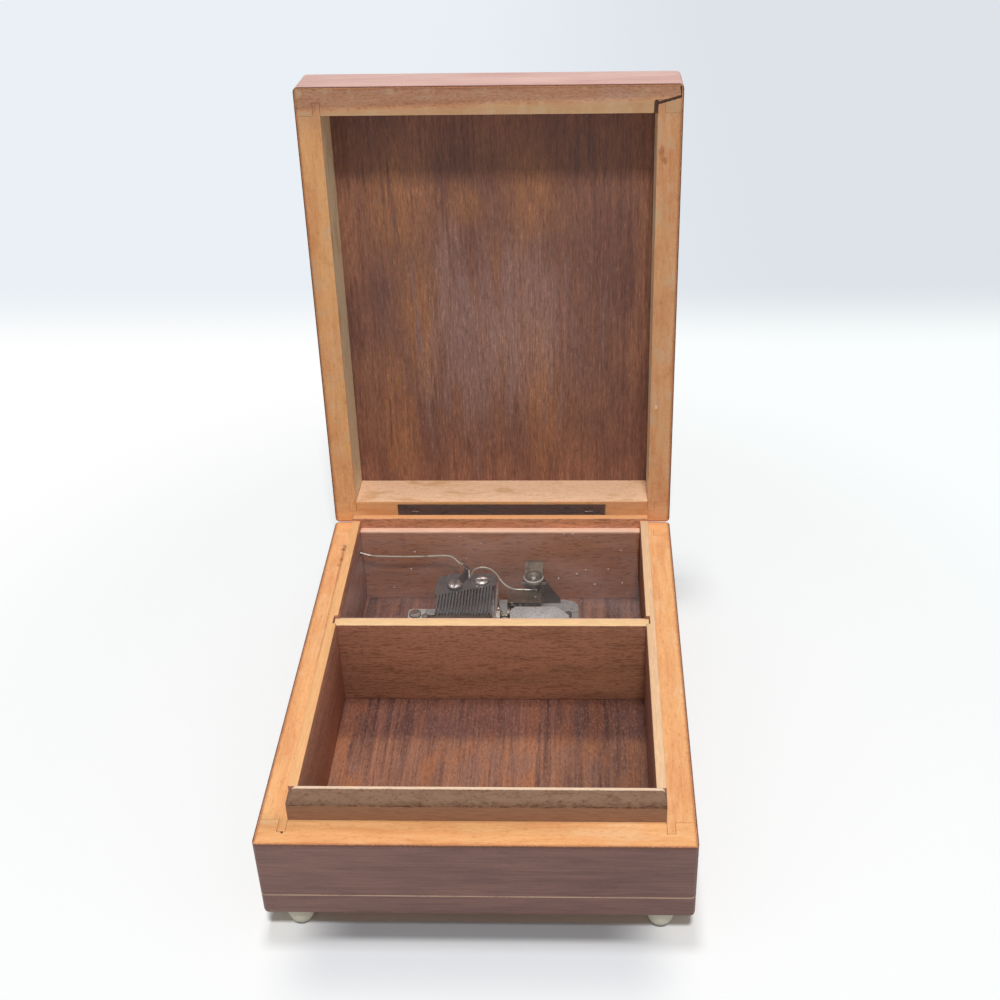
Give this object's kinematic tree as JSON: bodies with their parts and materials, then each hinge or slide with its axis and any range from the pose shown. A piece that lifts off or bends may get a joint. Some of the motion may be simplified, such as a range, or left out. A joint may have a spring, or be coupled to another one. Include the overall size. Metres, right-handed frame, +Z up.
{
  "type": "musical jewelry box",
  "caption": "Veneered wooden jewelry box with a hinged lid, a lined front compartment and a key-wound comb movement under a clear pane at the back.",
  "frame": {"origin": "level with the feet, under the middle of the open box's outline", "axes": "+X to the right, +Y to the hinge at the back, +Z up; stored with the lid open"},
  "size_m": [0.12, 0.1838, 0.1891],
  "materials": {
    "oiled_beech": "oiled, slightly glossy",
    "stained_beech": "stained and lacquered",
    "mahogany_veneer": "lacquered veneer",
    "light_stringing": "lacquered",
    "cream_plastic": "moulded",
    "clear_plastic": "clear, dusty",
    "dark_steel": "dark, tarnished",
    "bright_steel": "bright",
    "tempered_steel": "tempered, dark",
    "zinc_plate": "dull",
    "brass": "bright",
    "cast_bed": "as cast",
    "aged_plate": "aged plating"
  },
  "bodies": {
    "box": {"front_rail": "oiled_beech", "rear_rail": "oiled_beech", "left_rail": "oiled_beech", "right_rail": "oiled_beech", "base_board": "oiled_beech", "floor_veneer": "mahogany_veneer", "front_veneer": "mahogany_veneer", "rear_veneer": "mahogany_veneer", "left_veneer": "mahogany_veneer", "right_veneer": "mahogany_veneer", "stringing_line": "light_stringing", "front_lip": "stained_beech", "rear_lining": "stained_beech", "left_lining": "stained_beech", "right_lining": "stained_beech", "partition": "stained_beech", "rear_ledge": "stained_beech", "partition_ledge": "stained_beech", "cover_pane": "clear_plastic", "foot_front_left": "cream_plastic", "foot_front_right": "cream_plastic", "foot_rear_left": "cream_plastic", "foot_rear_right": "cream_plastic", "hinge_leaf_box": "dark_steel", "hinge_pin": "dark_steel", "wire_clip": "bright_steel", "bedplate": "cast_bed", "comb": "tempered_steel", "comb_screw_left": "bright_steel", "comb_screw_right": "bright_steel", "bracket_left": "bright_steel", "bracket_right": "bright_steel", "barrel_bridge": "zinc_plate", "governor_frame": "aged_plate", "governor_cock": "aged_plate", "endstone_cap": "zinc_plate"},
    "lid": {"lid_front_rail": "oiled_beech", "lid_rear_rail": "oiled_beech", "lid_left_rail": "oiled_beech", "lid_right_rail": "oiled_beech", "lid_board": "mahogany_veneer", "lid_top_veneer": "mahogany_veneer", "lid_front_veneer": "mahogany_veneer", "lid_rear_veneer": "mahogany_veneer", "lid_left_veneer": "mahogany_veneer", "lid_right_veneer": "mahogany_veneer", "hinge_leaf_lid": "dark_steel", "hinge_screw_left": "dark_steel", "hinge_screw_right": "dark_steel"},
    "stop_pin": {"stop_pin": "bright_steel"},
    "stop_wire": {"stop_wire": "bright_steel"},
    "cylinder": {"cylinder": "brass", "cylinder_gears": "bright_steel"},
    "spring_barrel": {"spring_barrel": "brass"},
    "train_wheel": {"train_wheel": "brass"},
    "worm_wheel": {"worm_wheel": "brass"},
    "fan": {"fan_worm": "bright_steel"},
    "key": {"winding_arbor": "bright_steel", "winding_key": "brass"}
  },
  "joints": [
    {"name": "lid_hinge", "type": "hinge", "parent": "box", "child": "lid", "pos_m": [0, 0.06213, 0.03545], "axis": [1, 0, 0], "range_deg": [0, 94]},
    {"name": "stop_pin_slide", "type": "slide", "parent": "box", "child": "stop_pin", "axis": [0, 0, -1], "range_m": [0, 0.00116]},
    {"name": "stop_wire_pivot", "type": "hinge", "parent": "box", "child": "stop_wire", "pos_m": [-0.0116, 0.04243, 0.0288], "axis": [0, -1, 0], "range_deg": [0, 1.62]},
    {"name": "barrel_spin", "type": "hinge", "parent": "box", "child": "spring_barrel", "pos_m": [0.0145, 0.01363, 0.0198], "axis": [0, 0, 1], "continuous": true},
    {"name": "cylinder_spin", "type": "hinge", "parent": "box", "child": "cylinder", "pos_m": [-0.0124, 0.01363, 0.02275], "axis": [1, 0, 0], "continuous": true},
    {"name": "train_wheel_spin", "type": "hinge", "parent": "box", "child": "train_wheel", "pos_m": [0.0047, 0.02371, 0.02293], "axis": [1, 0, 0], "continuous": true},
    {"name": "worm_wheel_spin", "type": "hinge", "parent": "box", "child": "worm_wheel", "pos_m": [0.0088, 0.02888, 0.02265], "axis": [1, 0, 0], "continuous": true},
    {"name": "fan_spin", "type": "hinge", "parent": "box", "child": "fan", "pos_m": [0.0121, 0.03416, 0.0228], "axis": [0, 0, 1], "continuous": true},
    {"name": "key_wind", "type": "hinge", "parent": "box", "child": "key", "pos_m": [0.0145, 0.01363, 0.0158], "axis": [0, 0, 1], "continuous": true}
  ],
  "couplings": [
    {"joint": "stop_pin_slide", "follows": "lid_hinge", "m_per_rad": 0.0007},
    {"joint": "stop_wire_pivot", "follows": "lid_hinge", "ratio": 0.017},
    {"joint": "cylinder_spin", "follows": "barrel_spin", "ratio": -2.4},
    {"joint": "train_wheel_spin", "follows": "barrel_spin", "ratio": 9.6},
    {"joint": "worm_wheel_spin", "follows": "barrel_spin", "ratio": -23.04},
    {"joint": "fan_spin", "follows": "barrel_spin", "ratio": 460.8}
  ]
}
